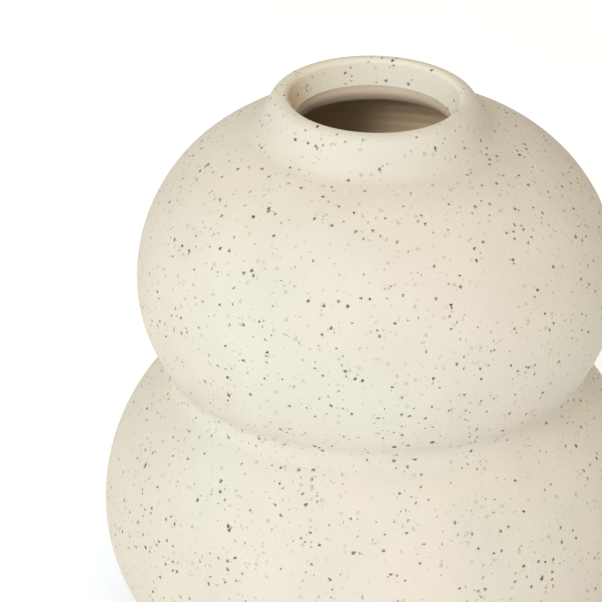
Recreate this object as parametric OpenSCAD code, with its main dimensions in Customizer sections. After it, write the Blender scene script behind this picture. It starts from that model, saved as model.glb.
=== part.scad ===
// Double-bulb stoneware vase with a rolled lip.
// Two thrown bulbs, a collar and a foot ring are joined with clay slip, and the inside is glazed.
// The foot stands on z = 0, and the bulbs turn about the Z axis.

/* [Whole vase] */
// Height of the top of the lip above the table
vase_h = 276; // [274:0.5:280]
// Thickness of the thrown clay wall
wall = 6; // [5:0.5:7]
// Thickness of the floor of the lower bulb
floor_t = 7; // [5:0.5:9]

/* [Lower bulb] */
// Largest diameter of the lower bulb
lower_d = 241.5; // [236:0.5:248]
// Height of the lower bulb's widest circle above the table
lower_equator_h = 78; // [74:0.5:82]
// Radius of its profile above the widest circle
lower_top_round = 87.5; // [84:0.5:92]
// Depth by which the flat underside cuts into the round of the base
base_cut = 2; // [1:0.5:5]

/* [Upper bulb] */
// Largest diameter of the upper bulb
upper_d = 211.5; // [206:0.5:216]
// Height of the upper bulb's widest circle above the table
upper_equator_h = 188.5; // [187:0.5:190]
// Radius of its profile above the widest circle, up to the shoulder
shoulder_round = 74.5; // [73:0.5:76]
// Radius of its profile below the widest circle, down to the waist
upper_base_round = 64.5; // [60:0.5:70]

/* [Mouth] */
// Diameter of the opening
mouth_d = 68; // [60:0.5:72]
// Thickness of the rolled lip
lip_roll_d = 10.5; // [9:0.5:12]
// Thickness of the collar's wall under the lip
collar_wall = 8; // [6:0.5:8.5]
// Angle by which the thrown mouth leans to the left
mouth_lean = 0.8; // [0:0.1:1.5]
// Radius of the lower inside edge of the throat
throat_round = 3; // [2:0.5:4]

/* [Foot] */
// Outer diameter of the foot ring
foot_d = 118; // [100:1:118]
// Width of the ring that stands on the table
foot_w = 8; // [5:0.5:12]
// Height of the foot ring
foot_h = 4; // [3:0.5:6]
// Bevel on the edges of the foot ring
foot_bevel = 0.8; // [0.4:0.1:1.2]

/* [Joining slip] */
// Thickness of the slip between the two bulbs
slip_t = 1; // [0.6:0.1:2]
// Radius of the cove wiped into the waist
waist_cove = 6; // [4:0.5:8]
// Radius of the cove between the lip and the shoulder
neck_cove = 8.5; // [7:0.5:10]
// Radius of the coves beside the foot ring
foot_cove = 3; // [2:0.5:3]

/* [Inner glaze] */
// Thickness of the glaze
glaze_t = 0.6; // [0.4:0.1:1]
// Distance from the middle of the lip down to the edge of the glaze
glaze_drop = 6; // [5:0.5:8]

/* [Hidden] */
$fn = 180;

clay = "#dfd8c6";
slip = "#dcd3bf";
bare_clay = "#c9b79b";
glaze = "#a89a8c";

// A cove stops short of its tangent points, where its edge would be infinitely thin.
cove_reach = 0.8;
// The same on the short coves beside the foot.
foot_cove_reach = 0.6;
// Depth by which a blank is carried into its neighbour before that neighbour is cut away.
sink = 1.5;
reach = 200;

lower_r = lower_d / 2;
upper_r = upper_d / 2;
mouth_r = mouth_d / 2;
collar_r = mouth_r + collar_wall;
foot_r = foot_d / 2;
lip_r = lip_roll_d / 2;
floor_z = foot_h + floor_t;

// Profiles are drawn as [distance from the axis, height]. Centres of their arcs:
lower_base_round = lower_equator_h - foot_h + base_cut;
lower_top_c = [lower_r - lower_top_round, lower_equator_h];
lower_base_c = [lower_r - lower_base_round, lower_equator_h];
shoulder_c = [upper_r - shoulder_round, upper_equator_h];
upper_base_c = [upper_r - upper_base_round, upper_equator_h];
lip_c = [mouth_r + lip_r, vase_h - lip_r];

// The crossing, further from the axis, of the circle at a with that at b below it.
function crossing(a, a_r, b, b_r) =
    let (d = norm(b - a), u = (b - a) / d, along = (a_r ^ 2 - b_r ^ 2 + d ^ 2) / (2 * d))
    a + along * u + sqrt(a_r ^ 2 - along ^ 2) * [-u.y, u.x];
function angle_of(v) = atan2(v.y, v.x);
function on_circle(c, r, angle) = c + r * [cos(angle), sin(angle)];
// The point of a circle that lies cove_reach of the way from one point's direction to another's.
function short_of(c, r, from, to) =
    on_circle(c, r, (1 - cove_reach) * angle_of(from - c) + cove_reach * angle_of(to - c));

waist = crossing(upper_base_c, upper_base_round, lower_top_c, lower_top_round);
waist_cove_c = crossing(upper_base_c, upper_base_round + waist_cove,
                        lower_top_c, lower_top_round + waist_cove);
neck_cove_c = crossing(lip_c, lip_r + neck_cove, shoulder_c, shoulder_round + neck_cove);

// Where the collar's wall meets the outside and the inside of the shoulder.
collar_top = [collar_r, shoulder_c.y + sqrt(shoulder_round ^ 2 - (collar_r - shoulder_c.x) ^ 2)];
collar_foot_z = shoulder_c.y + sqrt((shoulder_round - wall) ^ 2 - (collar_r - shoulder_c.x) ^ 2);
glaze_edge_z = lip_c.y - glaze_drop;

// The mouth leans about the centre of the lower bulb.
module leaned() {
    translate([0, 0, lower_equator_h])
        rotate([0, -mouth_lean, 0])
            translate([0, 0, -lower_equator_h])
                children();
}

// Everything from the axis out to an arc, above or below the arc's centre.
module half_bulb(c, r, above) {
    intersection() {
        union() {
            translate(c)
                circle(r = r);
            translate([0, c.y - r])
                square([c.x, 2 * r]);
        }
        translate([0, above ? c.y : c.y - reach])
            square([reach, reach]);
    }
}

// Profiles of the bulbs, shrunk by inset.
module lower_profile(inset = 0) {
    half_bulb(lower_top_c, lower_top_round - inset, true);
    half_bulb(lower_base_c, lower_base_round - inset, false);
}

module upper_profile(inset = 0) {
    half_bulb(shoulder_c, shoulder_round - inset, true);
    half_bulb(upper_base_c, upper_base_round - inset, false);
}

// The hollow inside the clay, shrunk by the thickness of a coat on its wall.
module hollow_profile(coat = 0) {
    intersection() {
        lower_profile(wall + coat);
        translate([0, floor_z + coat])
            square([reach, reach]);
    }
    upper_profile(wall + coat);
}

module lower_wall_profile() {
    difference() {
        intersection() {
            lower_profile();
            translate([0, foot_h])
                square([reach, waist.y - slip_t / 2 - foot_h]);
        }
        hollow_profile();
    }
}

module upper_wall_profile() {
    difference() {
        intersection() {
            upper_profile();
            translate([0, waist.y + slip_t / 2])
                square([reach, reach]);
        }
        hollow_profile();
    }
}

// A block with the inside of its lower inner corner rounded, from the throat out to the collar's wall.
module throat_block(inner_r, base_z, top_z, round_r) {
    difference() {
        translate([inner_r, base_z])
            square([collar_r - inner_r, top_z - base_z]);
        difference() {
            translate([inner_r - sink, base_z - sink])
                square(round_r + sink);
            translate([inner_r + round_r, base_z + round_r])
                circle(r = round_r);
        }
    }
}

module collar_profile() {
    translate(lip_c)
        circle(r = lip_r);
    translate([mouth_r, glaze_edge_z])
        square([collar_wall, glaze_drop]);
    throat_block(mouth_r + glaze_t, collar_foot_z, lip_c.y, throat_round);
}

module throat_glaze_profile() {
    difference() {
        throat_block(mouth_r, collar_foot_z - glaze_t, glaze_edge_z, throat_round + glaze_t);
        throat_block(mouth_r + glaze_t, collar_foot_z, glaze_edge_z + sink, throat_round);
    }
}

// Thrown lower bulb: floor, belly and the ring that the upper bulb sits on
module lower_bulb() {
    color(clay)
        rotate_extrude()
            lower_wall_profile();
}

// Thrown ring that the vase stands on
module foot_ring() {
    inner_r = foot_r - foot_w;
    color(bare_clay)
        rotate_extrude()
            polygon([
                [inner_r + foot_bevel, 0],
                [foot_r - foot_bevel, 0],
                [foot_r, foot_bevel],
                [foot_r, foot_h],
                [inner_r, foot_h],
                [inner_r, foot_bevel],
            ]);
}

// Slip smoothed into the corners outside and inside the foot ring
module foot_slip_seam() {
    side = foot_cove_reach * foot_cove;
    color(slip)
        rotate_extrude() {
            difference() {
                translate([foot_r, foot_h - side])
                    square(side);
                translate([foot_r + foot_cove, foot_h - foot_cove])
                    circle(r = foot_cove);
            }
            difference() {
                translate([foot_r - foot_w - side, foot_h - side])
                    square(side);
                translate([foot_r - foot_w - foot_cove, foot_h - foot_cove])
                    circle(r = foot_cove);
            }
        }
}

// Thrown upper bulb, open at the waist and bored for the collar
module upper_bulb() {
    color(clay)
        difference() {
            rotate_extrude()
                upper_wall_profile();
            leaned()
                translate([0, 0, upper_equator_h])
                    cylinder(r = collar_r, h = reach);
        }
}

// Slip between the bulbs, wiped into a cove round the outside of the waist
module waist_slip_seam() {
    color(slip)
        rotate_extrude()
            difference() {
                polygon([
                    waist - [2 * wall, slip_t / 2],
                    waist - [2 * wall, -slip_t / 2],
                    waist + [0, slip_t / 2],
                    short_of(upper_base_c, upper_base_round, waist, waist_cove_c),
                    waist_cove_c,
                    short_of(lower_top_c, lower_top_round, waist, waist_cove_c),
                    waist - [0, slip_t / 2],
                ]);
                translate(waist_cove_c)
                    circle(r = waist_cove);
                lower_wall_profile();
                upper_wall_profile();
                hollow_profile();
            }
}

// Thrown collar with the rolled lip, let into the shoulder
module mouth_collar() {
    color(clay)
        leaned()
            rotate_extrude()
                collar_profile();
}

// Slip that blends the lip into the shoulder
module neck_slip_seam() {
    on_lip = short_of(lip_c, lip_r, collar_top, neck_cove_c);
    on_shoulder = short_of(shoulder_c, shoulder_round, collar_top, neck_cove_c);
    color(slip)
        difference() {
            leaned()
                rotate_extrude()
                    difference() {
                        polygon([
                            collar_top - [0, sink],
                            [collar_r, lip_c.y],
                            on_lip,
                            neck_cove_c,
                            on_shoulder,
                            on_shoulder - [0, sink],
                        ]);
                        translate(neck_cove_c)
                            circle(r = neck_cove);
                        translate(lip_c)
                            circle(r = lip_r);
                    }
            rotate_extrude()
                upper_profile();
        }
}

// Glassy coat that makes the inside watertight, up to a line under the lip
module glaze_lining() {
    color(glaze) {
        difference() {
            rotate_extrude()
                difference() {
                    hollow_profile();
                    hollow_profile(glaze_t);
                }
            leaned()
                translate([0, 0, upper_equator_h])
                    cylinder(r = collar_r, h = reach);
        }
        leaned()
            rotate_extrude()
                throat_glaze_profile();
    }
}

lower_bulb();
foot_ring();
foot_slip_seam();
upper_bulb();
waist_slip_seam();
mouth_collar();
neck_slip_seam();
glaze_lining();
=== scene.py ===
# Speckled double-bulb stoneware vase: the turned pieces, their glazes, the studio and the camera.
import math

import bmesh
import bpy
from mathutils import Euler, Matrix, Vector, geometry, noise


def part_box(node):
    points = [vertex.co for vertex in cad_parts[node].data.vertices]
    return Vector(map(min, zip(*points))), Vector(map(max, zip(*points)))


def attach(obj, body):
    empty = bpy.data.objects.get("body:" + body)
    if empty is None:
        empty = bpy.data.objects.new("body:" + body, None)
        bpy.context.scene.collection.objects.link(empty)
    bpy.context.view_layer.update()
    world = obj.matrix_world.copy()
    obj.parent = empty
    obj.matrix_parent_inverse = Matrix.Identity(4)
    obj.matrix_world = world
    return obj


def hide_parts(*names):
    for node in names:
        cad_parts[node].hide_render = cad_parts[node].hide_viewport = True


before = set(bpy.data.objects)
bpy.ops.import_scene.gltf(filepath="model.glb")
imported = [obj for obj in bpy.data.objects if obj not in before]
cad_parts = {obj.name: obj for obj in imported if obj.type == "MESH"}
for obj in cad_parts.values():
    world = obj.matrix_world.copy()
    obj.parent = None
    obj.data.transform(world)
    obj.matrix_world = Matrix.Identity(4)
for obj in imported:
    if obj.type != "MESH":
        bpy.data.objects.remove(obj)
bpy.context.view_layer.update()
scene = bpy.context.scene
mm = 0.001

# How far the hand strays from a true circle, in millimetres and degrees
hand = {
    "mouthAside": -2.65,  # the mouth was set a little to the left
    "mouthSink": 0.5,
    "mouthNod": 0.6,  # dips towards the front
    "mouthRoll": 0.5,  # and to the right
    "mouthCentre": 268,
    "strayFrom": 251,  # the shoulder starts to follow the mouth at this height
    "strayFull": 261,
    "wander": 0.28,  # deepest hollow
    "wanderSize": 55,
    "wanderSeed": (3.1, 1.7, 0.4),
    "turns": 192,  # steps round the wheel
    "crisp": 18,  # edges that bend further than this stay crisp
}

# Profile points are (distance from the axis, height)
def crossing(a, aRadius, b, bRadius):
    # where two circles cross, further from the axis, with a above b
    gap = (b - a).length
    along = (aRadius**2 - bRadius**2 + gap**2) / (2 * gap)
    u = (b - a) / gap
    return a + along * u + math.sqrt(aRadius**2 - along**2) * Vector((-u.y, u.x))


def angleFrom(centre, point):
    return math.atan2(point.y - centre.y, point.x - centre.x)


def onCircle(centre, radius, angle):
    return centre + radius * Vector((math.cos(angle), math.sin(angle)))


def heightOn(centre, radius, r):
    return centre.y + math.sqrt(radius**2 - (r - centre.x) ** 2)


def radiusOn(centre, radius, z):
    return centre.x + math.sqrt(radius**2 - (z - centre.y) ** 2)


class Outline:
    # a profile on the XZ plane, drawn by its moving last point
    def __init__(self, r, z):
        self.bm = bmesh.new()
        self.start = (r, z)
        self.last = self.bm.verts.new((r * mm, 0, z * mm))

    def line(self, point, steps=1):
        start = self.last.co.copy()
        end = Vector((point[0] * mm, 0, point[1] * mm))
        for i in range(steps):
            self.last = bmesh.ops.extrude_vert_indiv(self.bm, verts=[self.last])["verts"][0]
            self.last.co = start.lerp(end, (i + 1) / steps)
        return self

    def arc(self, centre, toPoint, steps):
        here = Vector((self.last.co.x / mm, self.last.co.z / mm))
        sweep = angleFrom(centre, Vector(toPoint)) - angleFrom(centre, here)
        sweep = math.remainder(sweep, 2 * math.pi)  # the short way round
        made = bmesh.ops.spin(self.bm, geom=[self.last], cent=(centre.x * mm, 0, centre.y * mm),
                              axis=(0, -1, 0), dvec=(0, 0, 0), angle=sweep, steps=steps,
                              use_merge=False, use_normal_flip=False, use_duplicate=False)
        self.last = [v for v in made["geom_last"] if isinstance(v, bmesh.types.BMVert)][0]
        return self

    def close(self):
        return self.line(self.start)


def handShape(co):
    # a thrown pot is never quite round, nor its mouth quite level
    size = hand["wanderSize"] * mm
    dent = (1 + noise.noise(co / size + Vector(hand["wanderSeed"]))) / 2
    flat = Vector((co.x, co.y, 0))
    if flat.length > 0:
        co = co - flat.normalized() * min(dent * hand["wander"] * mm, flat.length)
    t = (co.z / mm - hand["strayFrom"]) / (hand["strayFull"] - hand["strayFrom"])
    t = min(max(t, 0), 1)
    t = t * t * (3 - 2 * t)  # eased in and out
    nod = math.radians(hand["mouthNod"]) * t
    roll = math.radians(hand["mouthRoll"]) * t
    tip = Euler((nod, roll, 0)).to_matrix()
    pivot = Vector((0, 0, hand["mouthCentre"] * mm))
    move = Vector((hand["mouthAside"], 0, -hand["mouthSink"])) * mm * t
    return pivot + tip @ (co - pivot) + move


def spinRound(bm, steps):
    # once round the axis, closed at the seam and at the poles
    bmesh.ops.spin(bm, geom=bm.verts[:] + bm.edges[:], cent=(0, 0, 0), axis=(0, 0, 1),
                   dvec=(0, 0, 0), angle=2 * math.pi, steps=steps, use_merge=True,
                   use_normal_flip=False, use_duplicate=False)
    bmesh.ops.remove_doubles(bm, verts=bm.verts, dist=1e-6)


def turn(name, outlines, node, material):
    # throws the outlines on the wheel and hands back the finished piece
    bm = bmesh.new()
    for outline in outlines:
        spinRound(outline.bm, hand["turns"])
        part = bpy.data.meshes.new("part")
        outline.bm.to_mesh(part)
        bm.from_mesh(part)
        bpy.data.meshes.remove(part)
        outline.bm.free()
    bmesh.ops.recalc_face_normals(bm, faces=bm.faces)
    for v in bm.verts:
        v.co = handShape(v.co)
    mesh = bpy.data.meshes.new(name)
    bm.to_mesh(mesh)
    bm.free()
    mesh.polygons.foreach_set("use_smooth", [True] * len(mesh.polygons))
    mesh.set_sharp_from_angle(angle=math.radians(hand["crisp"]))
    piece = bpy.data.objects.new(name, mesh)
    scene.collection.objects.link(piece)
    piece.data.materials.append(material)
    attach(piece, "root")
    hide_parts(node)
    print("turned", name, len(mesh.polygons), "faces")
    return piece


usualNoise = (0.32, 0.68)  # noise seldom strays outside these


def linear(hexColour):
    def toLinear(v):
        return v / 12.92 if v <= 0.04045 else ((v + 0.055) / 1.055) ** 2.4
    return tuple(toLinear(int(hexColour[i:i + 2], 16) / 255) for i in (1, 3, 5)) + (1,)


def across(size):
    # texture scale of a pattern whose features are this many millimetres across
    return 1 / (size * mm)


def add(tree, kind, inputs=None, **settings):
    # one node: settings are its own, inputs are values or the sockets that feed it
    made = tree.nodes.new(kind)
    for key, value in settings.items():
        setattr(made, key, value)
    for key, value in (inputs or {}).items():
        if isinstance(value, bpy.types.NodeSocket):
            tree.links.new(value, made.inputs[key])
        else:
            made.inputs[key].default_value = value
    return made


def startMaterial(name):
    made = bpy.data.materials.new(name)
    made.use_nodes = True
    made.node_tree.nodes.clear()
    return made, made.node_tree, add(made.node_tree, "ShaderNodeTexCoord").outputs["Object"]


def noisy(tree, place, size, detail, low, high):
    # soft noise, spread from low to high
    cloud = add(tree, "ShaderNodeTexNoise", {"Vector": place, "Scale": across(size), "Detail": detail})
    return add(tree, "ShaderNodeMapRange", {
        "Value": cloud.outputs["Fac"], "From Min": usualNoise[0], "From Max": usualNoise[1],
        "To Min": low, "To Max": high}).outputs[0]


def spread(tree, value, low, high):
    # 0 to 1 as the value goes from low to high
    return add(tree, "ShaderNodeMapRange", {"Value": value, "From Min": low, "From Max": high},
               interpolation_type="SMOOTHSTEP").outputs[0]


def lay(tree, under, over, mask, amount=1.0):
    # one colour laid over another where the mask is
    cover = add(tree, "ShaderNodeMath", {0: mask, 1: amount}, operation="MULTIPLY")
    return add(tree, "ShaderNodeMix", {0: cover.outputs[0], 6: under, 7: over},
               data_type="RGBA").outputs[2]


def shade(tree, colour, light):
    # the colour made lighter or darker by a factor
    return add(tree, "ShaderNodeVectorMath", {0: colour, "Scale": light}, operation="SCALE").outputs[0]


def grains(tree, place, crowd, spacing, smallest, largest, soft):
    # iron grains are balls in the clay, and the skin cuts through them: mask of the cut, and its tint
    cells = add(tree, "ShaderNodeTexVoronoi", {"Vector": place, "Scale": across(spacing)})
    draw = add(tree, "ShaderNodeSeparateColor", {"Color": cells.outputs["Color"]})
    radius = add(tree, "ShaderNodeMapRange", {
        "Value": draw.outputs["Red"], "To Min": smallest / spacing, "To Max": largest / spacing})
    inside = add(tree, "ShaderNodeMath", {0: radius.outputs[0], 1: cells.outputs["Distance"]},
                 operation="SUBTRACT")
    edge = add(tree, "ShaderNodeMapRange", {
        "Value": inside.outputs[0], "From Min": -soft / spacing, "From Max": soft / spacing},
        interpolation_type="SMOOTHSTEP")
    here = add(tree, "ShaderNodeMath", {0: draw.outputs["Green"], 1: crowd}, operation="LESS_THAN")
    mask = add(tree, "ShaderNodeMath", {0: edge.outputs[0], 1: here.outputs[0]}, operation="MULTIPLY")
    return mask.outputs[0], draw.outputs["Blue"]


def relief(tree, parts, depth):
    # bump from (height, share) pairs, deepest where they add up
    total = 0.0
    for height, share in parts:
        total = add(tree, "ShaderNodeMath", {0: height, 1: share, 2: total},
                    operation="MULTIPLY_ADD").outputs[0]
    return add(tree, "ShaderNodeBump", {"Height": total, "Distance": depth * mm}).outputs[0]


def finish(tree, colour, roughness, normal, level=0.5):
    shader = add(tree, "ShaderNodeBsdfPrincipled", {
        "Base Color": colour, "Roughness": roughness, "Normal": normal, "IOR": 1.5,
        "Specular IOR Level": level})
    add(tree, "ShaderNodeOutputMaterial", {"Surface": shader.outputs[0]})


stoneware = {
    "creamCool": "#cfcab9",
    "creamWarm": "#d3c8b9",
    "spot": "#43372a",
    "spotPale": "#857660",
    "smudge": "#a3957d",
    "lipPaintedLight": "#ece3cd",  # painted light: the inside of the lip painted lighter than the rest of the glaze
    "paintedLipShade": "#c4a27a",  # painted shade: a warm brown patch painted inside the lip, left of the mouth
    "paintedLipShadePlace": (-36, 4, 268),
    "paintedLipShadeReach": 24,
    "paintedLightFades": (6, 4),  # mm under the edge of the liner glaze, where the painted light inside the lip fades out
    # iron grains in the clay: mm between them, smallest and largest radius, softness of the edge
    "spots": (3.35, 0.24, 0.84, 0.22),
    "smudges": (3.9, 0.3, 0.95, 0.45),  # burnt, but still under the glaze
    "crumbs": (2.5, 0.14, 0.42, 0.15),
    "blotches": (12, 0.5, 1.1, 0.2),
    "blotchShare": 0.3,
    "cover": {"paintedLipLight": 0.6, "paintedLipShade": 0.7, "smudges": 0.5, "crumbs": 0.6,
              "spots": 0.95, "blotches": 0.85},
    "crowdSize": 11,  # grains gather in clusters this wide
    "crowd": (0.14, 0.94),  # share of them that show, between the clusters and in them
    "ragSize": 0.9,
    "rag": 1.7,  # mm that a grain's edge strays
    "tintSize": 66,
    "cloudSize": 38,
    "clouds": (0.97, 1.03),
    "roughness": (0.58, 0.72),
    "specular": 0.35,
    "skinSize": 8,
    "gritSize": 1.4,
    "skin": 0.6,  # shares of the relief
    "grit": 0.35,
    "pits": -0.5,
    "relief": 0.075,
}


def insideLip(tree, place):
    # mask of the flare between the crest of the lip and the throat
    fromMouth = add(tree, "ShaderNodeVectorMath", {0: place, 1: (hand["mouthAside"] * mm, 0, 0)},
                    operation="SUBTRACT").outputs[0]
    level = add(tree, "ShaderNodeVectorMath", {0: fromMouth, 1: (1, 1, 0)}, operation="MULTIPLY")
    reach = add(tree, "ShaderNodeVectorMath", {0: level.outputs[0]}, operation="LENGTH").outputs["Value"]
    crest = mouthCollar["lipRadius"]
    inward = spread(tree, reach, crest * mm, (crest - mouthCollar["lipRound"]) * mm)
    tall = add(tree, "ShaderNodeSeparateXYZ", {0: place}).outputs["Z"]
    low, high = [(glazeEdge.y - drop) * mm for drop in stoneware["paintedLightFades"]]
    upward = spread(tree, tall, low, high)
    return add(tree, "ShaderNodeMath", {0: inward, 1: upward}, operation="MULTIPLY").outputs[0]


def speckledStoneware():
    # matt cream glaze over an iron-bearing clay: dry, chalky, with dark grains burnt through
    made, tree, place = startMaterial("speckledStoneware")
    pick = stoneware
    cover = pick["cover"]
    rag = add(tree, "ShaderNodeTexNoise", {
        "Vector": place, "Scale": across(pick["ragSize"]), "Detail": 1.0})
    shift = add(tree, "ShaderNodeVectorMath", {0: rag.outputs["Color"], 1: (0.5, 0.5, 0.5)},
                operation="SUBTRACT")
    ragged = add(tree, "ShaderNodeVectorMath", {
        0: shift.outputs[0], 1: (pick["rag"] * mm,) * 3, 2: place}, operation="MULTIPLY_ADD").outputs[0]

    colour = lay(tree, linear(pick["creamCool"]), linear(pick["creamWarm"]),
                 noisy(tree, place, pick["tintSize"], 2, 0, 1))
    colour = shade(tree, colour, noisy(tree, place, pick["cloudSize"], 3, *pick["clouds"]))
    crowd = noisy(tree, place, pick["crowdSize"], 1, *pick["crowd"])
    spots, spotTone = grains(tree, ragged, crowd, *pick["spots"])
    smudges, _ = grains(tree, ragged, crowd, *pick["smudges"])
    crumbs, _ = grains(tree, ragged, crowd, *pick["crumbs"])
    blotches, _ = grains(tree, ragged, pick["blotchShare"], *pick["blotches"])
    dark = lay(tree, linear(pick["spot"]), linear(pick["spotPale"]), spotTone)

    # painted light: the flare inside the lip is painted a lighter cream
    paintedLipLightMask = insideLip(tree, place)
    colour = lay(tree, colour, linear(pick["lipPaintedLight"]), paintedLipLightMask, cover["paintedLipLight"])
    # painted shade: warm brown painted on the left of the flare inside the lip
    fromPaintedLipShade = add(tree, "ShaderNodeVectorMath", {0: place, 1: Vector(pick["paintedLipShadePlace"]) * mm},
                    operation="DISTANCE").outputs["Value"]
    paintedLipShadeMask = add(tree, "ShaderNodeMath", {
        0: paintedLipLightMask, 1: spread(tree, fromPaintedLipShade, pick["paintedLipShadeReach"] * mm, 0)}, operation="MULTIPLY")
    colour = lay(tree, colour, linear(pick["paintedLipShade"]), paintedLipShadeMask.outputs[0], cover["paintedLipShade"])
    colour = lay(tree, colour, linear(pick["smudge"]), smudges, cover["smudges"])
    colour = lay(tree, colour, linear(pick["spotPale"]), crumbs, cover["crumbs"])
    colour = lay(tree, colour, dark, spots, cover["spots"])
    colour = lay(tree, colour, linear(pick["spot"]), blotches, cover["blotches"])

    normal = relief(tree, [
        (noisy(tree, place, pick["skinSize"], 2, 0, 1), pick["skin"]),
        (noisy(tree, place, pick["gritSize"], 3, 0, 1), pick["grit"]),
        (spots, pick["pits"]),
    ], pick["relief"])
    roughness = noisy(tree, place, pick["cloudSize"], 3, *pick["roughness"])
    finish(tree, colour, roughness, normal, pick["specular"])
    return made


bareClay = {
    "buff": "#cdb694",
    "sand": "#b59d79",
    "grog": "#8b7152",
    "cloudSize": 14,
    "grains": (1.7, 0.15, 0.6, 0.12),  # mm apart, smallest, largest, softness of the edge
    "grainShare": 0.8,
    "gritSize": 0.8,
    "roughness": (0.78, 0.92),
    "specular": 0.3,
    "grit": 0.5,  # shares of the relief
    "proud": 0.5,
    "relief": 0.14,
}


def bareStoneware():
    # unglazed buff clay, wiped with a wet sponge so that the grog stands proud of it
    made, tree, place = startMaterial("bareStoneware")
    pick = bareClay
    colour = lay(tree, linear(pick["buff"]), linear(pick["sand"]),
                 noisy(tree, place, pick["cloudSize"], 4, 0, 1))
    grog, grogTone = grains(tree, place, pick["grainShare"], *pick["grains"])
    colour = lay(tree, colour, linear(pick["grog"]), grog, grogTone)
    grit = noisy(tree, place, pick["gritSize"], 3, 0, 1)
    normal = relief(tree, [(grit, pick["grit"]), (grog, pick["proud"])], pick["relief"])
    roughness = noisy(tree, place, pick["cloudSize"], 3, *pick["roughness"])
    finish(tree, colour, roughness, normal, pick["specular"])
    return made


liner = {
    "milk": "#b7aa97",
    "tea": "#ac9d88",
    "paintedHollowLight": "#ead5b2",  # painted light: the lining is painted lighter and creamier in the hollow than on the throat
    "spot": "#5a4836",
    "paintedHollowLightFrom": 8,  # mm below the collar, where the painted light in the hollow is full
    "cover": {"paintedHollowLight": 0.9, "rings": 0.12},
    "cloudSize": 30,
    "grains": (5, 0.2, 0.6, 0.2),  # mm apart, smallest, largest, softness of the edge
    "grainShare": 0.35,
    "ringPitch": 6,  # mm between the marks of the thrower's fingers
    "ringWobble": 1.2,
    "roughness": (0.42, 0.56),
    "skinSize": 5,
    "rings": 0.6,  # shares of the relief
    "skin": 0.2,
    "relief": 0.25,
}


def linerGlaze():
    # milky satin glaze swilled round the inside: it pools in the rings left by the fingers
    made, tree, place = startMaterial("linerGlaze")
    pick = liner
    waveSpan = 2 * math.pi / 20  # a wave texture of scale 1 repeats over this length
    rings = add(tree, "ShaderNodeTexWave", {
        "Vector": place, "Scale": waveSpan * across(pick["ringPitch"]),
        "Distortion": pick["ringWobble"], "Detail": 1.0, "Detail Scale": 0.4},
        wave_type="BANDS", bands_direction="Z").outputs["Fac"]
    colour = lay(tree, linear(pick["milk"]), linear(pick["tea"]),
                 noisy(tree, place, pick["cloudSize"], 3, 0, 1))
    tall = add(tree, "ShaderNodeSeparateXYZ", {0: place}).outputs["Z"]
    # painted light: the lining is painted lighter towards the hollow
    paintedHollowLightMask = spread(tree, tall, collarFoot * mm, (collarFoot - pick["paintedHollowLightFrom"]) * mm)
    colour = lay(tree, colour, linear(pick["paintedHollowLight"]), paintedHollowLightMask, pick["cover"]["paintedHollowLight"])
    colour = lay(tree, colour, linear(pick["tea"]), rings, pick["cover"]["rings"])
    spots, spotTone = grains(tree, place, pick["grainShare"], *pick["grains"])
    colour = lay(tree, colour, linear(pick["spot"]), spots, spotTone)
    skin = noisy(tree, place, pick["skinSize"], 2, 0, 1)
    normal = relief(tree, [(rings, pick["rings"]), (skin, pick["skin"])], pick["relief"])
    finish(tree, colour, noisy(tree, place, pick["cloudSize"], 3, *pick["roughness"]), normal)
    return made


card = {
    "white": "#f9fafc",
    "shadeOfWhite": "#f4f5f8",
    "cloudSize": 160,
    "fibreSize": 0.7,
    "fibreShade": (0.995, 1),
    "roughness": (0.88, 0.98),
    "specular": 0.2,
    "relief": 0.02,
    "flat": 4000,  # mm from the pot to the start of the bend
    "bend": 1500,
    "top": 2600,
}


def whiteCard():
    # heavy matt paper, rolled, with its short fibres just showing
    made, tree, place = startMaterial("whiteCard")
    pick = card
    fibres = noisy(tree, place, pick["fibreSize"], 2, 0, 1)
    colour = lay(tree, linear(pick["white"]), linear(pick["shadeOfWhite"]),
                 noisy(tree, place, pick["cloudSize"], 2, 0, 1))
    colour = shade(tree, colour, noisy(tree, place, pick["fibreSize"], 2, *pick["fibreShade"]))
    roughness = noisy(tree, place, pick["cloudSize"], 2, *pick["roughness"])
    finish(tree, colour, roughness, relief(tree, [(fibres, 1)], pick["relief"]), pick["specular"])
    return made


# the pot, in millimetres, as it was thrown
pot = {
    "height": 276,
    "wall": 6,
}
lowerBulb = {
    "equator": 78,
    "topRound": 87.5,
    "baseCut": 2,  # depth of the flat underside in the round of the base
    "floor": 7,
}
upperBulb = {
    "equator": 188.5,
    "shoulderRound": 74.5,
    "baseRound": 64.5,
}
waistSeam = {
    "cove": 8.5,
}
mouthCollar = {
    "throat": 34,
    "wall": 10.2,
    "lipRound": 3,  # of the inner half of the lip
    "lipRoll": 6,  # of its outer half
    "lipRadius": 39.8,  # to the crest of the lip
    "lean": 26,  # degrees that the collar spreads outwards below its lip
    "throatRound": 7,
}
neckSeam = {
    "cove": 13,
}
linerCoat = {
    "thickness": 0.6,
    "drop": 11,  # from the top of the lip down the flare to the edge of the glaze
}

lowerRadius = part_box("lower_bulb")[1].x / mm
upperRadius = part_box("upper_bulb")[1].x / mm
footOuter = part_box("foot_ring")[1].x / mm
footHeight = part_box("foot_ring")[1].z / mm
collarRadius = mouthCollar["throat"] + mouthCollar["wall"]
glazeEdge = Vector((mouthCollar["throat"], pot["height"] - linerCoat["drop"]))
print("frame read: foot", round(footOuter, 2), "bulbs", round(lowerRadius, 2), round(upperRadius, 2))

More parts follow.
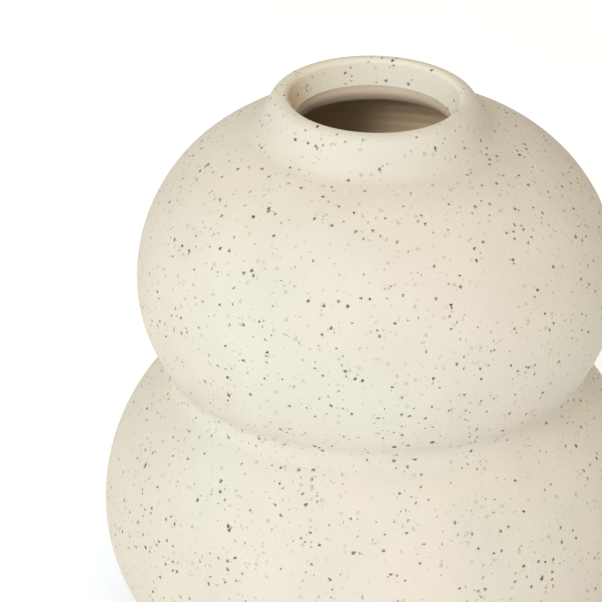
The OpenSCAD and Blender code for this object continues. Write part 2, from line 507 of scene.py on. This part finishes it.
baseRound = lowerBulb["equator"] - footHeight + lowerBulb["baseCut"]
lowerTop = Vector((lowerRadius - lowerBulb["topRound"], lowerBulb["equator"]))
lowerBase = Vector((lowerRadius - baseRound, lowerBulb["equator"]))
shoulder = Vector((upperRadius - upperBulb["shoulderRound"], upperBulb["equator"]))
upperBase = Vector((upperRadius - upperBulb["baseRound"], upperBulb["equator"]))
lipRoll = Vector((mouthCollar["lipRadius"], pot["height"] - mouthCollar["lipRoll"]))
lip = Vector((lipRoll.x, pot["height"] - mouthCollar["lipRound"]))
waistCove = crossing(upperBase, upperBulb["baseRound"] + waistSeam["cove"],
                     lowerTop, lowerBulb["topRound"] + waistSeam["cove"])
lean = math.radians(mouthCollar["lean"])
# the neck cove touches the leaning wall of the collar and the round of the shoulder
coveReach = onCircle(lipRoll, mouthCollar["lipRoll"] + neckSeam["cove"], lean)
downWall = Vector((math.sin(lean), -math.cos(lean)))
neckCove = geometry.intersect_line_sphere_2d(coveReach, coveReach + downWall, shoulder,
                                             upperBulb["shoulderRound"] + neckSeam["cove"], False)
neckCove = min((c for c in neckCove if c), key=lambda c: (c - coveReach).length)


def innerWaist(depth):
    # the ridge inside the waist, at that depth under the outer skin
    return crossing(upperBase, upperBulb["baseRound"] - depth,
                    lowerTop, lowerBulb["topRound"] - depth)


waistOnUpper = onCircle(upperBase, upperBulb["baseRound"], angleFrom(upperBase, waistCove))
waistOnLower = onCircle(lowerTop, lowerBulb["topRound"], angleFrom(lowerTop, waistCove))
wallTop = onCircle(lipRoll, mouthCollar["lipRoll"], lean)
wallFoot = onCircle(neckCove, -neckSeam["cove"], lean)
neckOnShoulder = onCircle(shoulder, upperBulb["shoulderRound"], angleFrom(shoulder, neckCove))
collarTop = heightOn(shoulder, upperBulb["shoulderRound"], collarRadius)
# the flare inside the lip runs straight from the glaze line to the round of the rim
toFlare = angleFrom(lip, glazeEdge) - math.acos(mouthCollar["lipRound"] / (glazeEdge - lip).length)
flareTop = onCircle(lip, mouthCollar["lipRound"], toFlare)
collarFoot = heightOn(shoulder, upperBulb["shoulderRound"] - pot["wall"], collarRadius)

speckled = speckledStoneware()
bare = bareStoneware()
milky = linerGlaze()
print("materials mixed")

# lower bulb: up the outside to the waist and back down the inside to the floor
flatRadius = radiusOn(lowerBase, baseRound, footHeight)
floorZ = footHeight + lowerBulb["floor"]
floorRadius = radiusOn(lowerBase, baseRound - pot["wall"], floorZ)
ridge = innerWaist(pot["wall"])
turn("lowerBulb", [
    Outline(0, footHeight).line((flatRadius, footHeight), 12)
    .arc(lowerBase, (lowerRadius, lowerBulb["equator"]), 56)
    .arc(lowerTop, waistOnLower, 56)
    .line(ridge, 3)
    .arc(lowerTop, (lowerRadius - pot["wall"], lowerBulb["equator"]), 20)
    .arc(lowerBase, (floorRadius, floorZ), 24)
    .line((0, floorZ), 10),
], "lower_bulb", speckled)

# upper bulb: from the waist over the shoulder, through the hole for the collar, and back inside
turn("upperBulb", [
    Outline(*waistOnUpper).arc(upperBase, (upperRadius, upperBulb["equator"]), 48)
    .arc(shoulder, neckOnShoulder, 56)
    .arc(shoulder, (collarRadius, collarTop), 4)
    .line((collarRadius, collarFoot), 2)
    .arc(shoulder, (upperRadius - pot["wall"], upperBulb["equator"]), 24)
    .arc(upperBase, ridge, 16)
    .close(),
], "upper_bulb", speckled)

turn("waistSeam", [
    Outline(*waistOnLower).arc(waistCove, waistOnUpper, 72).line(ridge, 3).close(),
], "waist_slip_seam", speckled)

# collar: up the leaning wall, over the lip and down the flare to the glaze line
clayThroat = mouthCollar["throat"] + linerCoat["thickness"]  # the liner glaze lies on it
turn("mouthCollar", [
    Outline(*wallFoot).line(wallTop, 6).arc(lipRoll, (lipRoll.x, pot["height"]), 40)
    .arc(lip, flareTop, 40)
    .line(glazeEdge, 10)
    .line((clayThroat, glazeEdge.y))
    .line((clayThroat, collarFoot + mouthCollar["throatRound"]), 3)
    .line((clayThroat + mouthCollar["throatRound"], collarFoot))
    .line((collarRadius, collarFoot), 2)
    .line((collarRadius, collarTop), 2)
    .close(),
], "mouth_collar", speckled)

turn("neckSeam", [
    Outline(*neckOnShoulder).arc(neckCove, wallFoot, 48)
    .line((collarRadius, collarTop), 3)
    .arc(shoulder, neckOnShoulder, 4),
], "neck_slip_seam", speckled)

# foot ring, trimmed and bevelled, with slip wiped into the corners on both sides of it
footRing = {
    "width": 8,
    "bevel": 0.8,
}
footSeam = {
    "cove": 3,
}
footInner = footOuter - footRing["width"]
bevel = footRing["bevel"]
turn("footRing", [
    Outline(footInner + bevel, 0).line((footOuter - bevel, 0), 4).line((footOuter, bevel))
    .line((footOuter, footHeight), 2).line((footInner, footHeight), 4).line((footInner, bevel), 2)
    .close(),
], "foot_ring", bare)
cove = footSeam["cove"]
outerCove = Vector((footOuter + cove, footHeight - cove))
innerCove = Vector((footInner - cove, footHeight - cove))
turn("footSeam", [
    Outline(footOuter, footHeight - cove).arc(outerCove, (outerCove.x, footHeight), 8)
    .line((footOuter, footHeight)).close(),
    Outline(footInner, footHeight - cove).arc(innerCove, (innerCove.x, footHeight), 8)
    .line((footInner, footHeight)).close(),
], "foot_slip_seam", bare)

# liner glaze: one coat from the floor to just under the lip
coat = pot["wall"] + linerCoat["thickness"]
inner = innerWaist(coat)
coatFloor = floorZ + linerCoat["thickness"]
throatOut = mouthCollar["throatRound"] + linerCoat["thickness"]
throatCentre = Vector((mouthCollar["throat"] + throatOut, collarFoot + mouthCollar["throatRound"]))
meet = throatCentre.x + 2  # where the throat's round gives way to the shoulder
coatShoulder = Vector((meet, heightOn(shoulder, upperBulb["shoulderRound"] - coat, meet)))
glazeLining = turn("glazeLining", [
    Outline(0, coatFloor).line((radiusOn(lowerBase, baseRound - coat, coatFloor), coatFloor), 12)
    .arc(lowerBase, (lowerRadius - coat, lowerBulb["equator"]), 24)
    .arc(lowerTop, inner, 20)
    .arc(upperBase, (upperRadius - coat, upperBulb["equator"]), 18)
    .arc(shoulder, coatShoulder, 36)
    .line((throatCentre.x, collarFoot - linerCoat["thickness"]), 2)
    .arc(throatCentre, (mouthCollar["throat"], throatCentre.y), 10)
    .line(glazeEdge, 4)
    .line((clayThroat, glazeEdge.y))
    .line((clayThroat, throatCentre.y), 4)
    .line((throatCentre.x, collarFoot))
    .line((meet, heightOn(shoulder, upperBulb["shoulderRound"] - pot["wall"], meet)), 2)
    .arc(shoulder, (upperRadius - pot["wall"], upperBulb["equator"]), 24)
    .arc(upperBase, ridge, 16)
    .arc(lowerTop, (lowerRadius - pot["wall"], lowerBulb["equator"]), 20)
    .arc(lowerBase, (floorRadius, floorZ), 24)
    .line((0, floorZ), 10),
], "glaze_lining", milky)

# three softboxes round the pot under an even sky
studio = {
    "sky": 0.4,
    "aim": (0, 0, 160),  # mm
    "away": 2300,
    "softbox": 1.3,  # m
    "cardLamp": (4, 44, "#fffdfb"),  # m, watts, colour
    "cardLampHeight": 3,  # m
    "insideLamp": (0.4, 32, "#fff3e4"),
    "insideLampWay": (-22, 28),  # compass and height, in degrees
}
# compass in degrees from the front towards the right, height in degrees, watts, colour
lamps = {
    "key": (-20, 34, 36.5, "#e7f2ff"),
    "warmFill": (60, 60, 14.3, "#ffe5b4"),
    "backFill": (-105, 30, 11.9, "#fffedb"),
}


def softbox(name, place, size, watts, colour, target, only=None):
    data = bpy.data.lights.new(name, "AREA")
    data.shape = "SQUARE"
    data.size = size
    data.energy = watts
    data.color = linear(colour)[:3]
    lamp = bpy.data.objects.new(name, data)
    lamp.location = place
    lamp.rotation_mode = "QUATERNION"
    lamp.rotation_quaternion = (target - place).to_track_quat("-Z", "Y")
    lamp.visible_camera = False
    scene.collection.objects.link(lamp)
    if only:  # lights this one object and nothing else
        lamp.light_linking.receiver_collection = bpy.data.collections.new(name + "Only")
        lamp.light_linking.receiver_collection.objects.link(only)


def skyward(compass, height):
    a, e = math.radians(compass), math.radians(height)
    way = Vector((math.cos(e) * math.sin(a), -math.cos(e) * math.cos(a), math.sin(e)))
    return way * studio["away"] * mm


aim = Vector(studio["aim"]) * mm
for name, (compass, height, watts, colour) in lamps.items():
    softbox(name, aim + skyward(compass, height), studio["softbox"], watts, colour, aim)

world = bpy.data.worlds.new("studio")
scene.world = world
world.use_nodes = True
background = world.node_tree.nodes["Background"]
background.inputs["Color"].default_value = (1, 1, 1, 1)
background.inputs["Strength"].default_value = studio["sky"]

# a round sweep of white card
edge = card["flat"] + card["bend"]
sheet = Outline(0, 0).line((card["flat"], 0))
sheet.arc(Vector((card["flat"], card["bend"])), (edge, card["bend"]), 16).line((edge, card["top"]))
spinRound(sheet.bm, 96)
bmesh.ops.recalc_face_normals(sheet.bm, faces=sheet.bm.faces)
sweepMesh = bpy.data.meshes.new("studioFloor")
sheet.bm.to_mesh(sweepMesh)
sheet.bm.free()
sweepMesh.polygons.foreach_set("use_smooth", [True] * len(sweepMesh.polygons))
studioFloor = bpy.data.objects.new("studioFloor", sweepMesh)
scene.collection.objects.link(studioFloor)
studioFloor.data.materials.append(whiteCard())

# the card has a lamp of its own, which keeps it white
overhead = Vector((0, 0, studio["cardLampHeight"]))
softbox("cardLamp", overhead, *studio["cardLamp"], Vector(), studioFloor)
# and so has the lining, low enough to look through the mouth at the far wall
mouth = Vector((0, 0, hand["mouthCentre"] * mm))
beside = mouth + skyward(*studio["insideLampWay"])
softbox("insideLamp", beside, *studio["insideLamp"], mouth, glazeLining)

view = {
    "place": (-33.3, -1738.0, 1051.1),  # mm
    "down": 26.74,  # degrees
    "roll": 0.47,
    "lens": 263.7,
    "sensor": 36,
    "farthest": 30,  # m
}
cameraData = bpy.data.cameras.new("camera")
cameraData.sensor_width = view["sensor"]
cameraData.lens = view["lens"]
cameraData.clip_end = view["farthest"]
camera = bpy.data.objects.new("camera", cameraData)
camera.matrix_world = (
    Matrix.Translation(Vector(view["place"]) * mm)
    @ Euler((math.radians(90 - view["down"]), 0, 0)).to_matrix().to_4x4()
    @ Matrix.Rotation(math.radians(view["roll"]), 4, "Z")
)
scene.collection.objects.link(camera)
scene.camera = camera
scene.view_settings.view_transform = "Standard"
print("studio set")
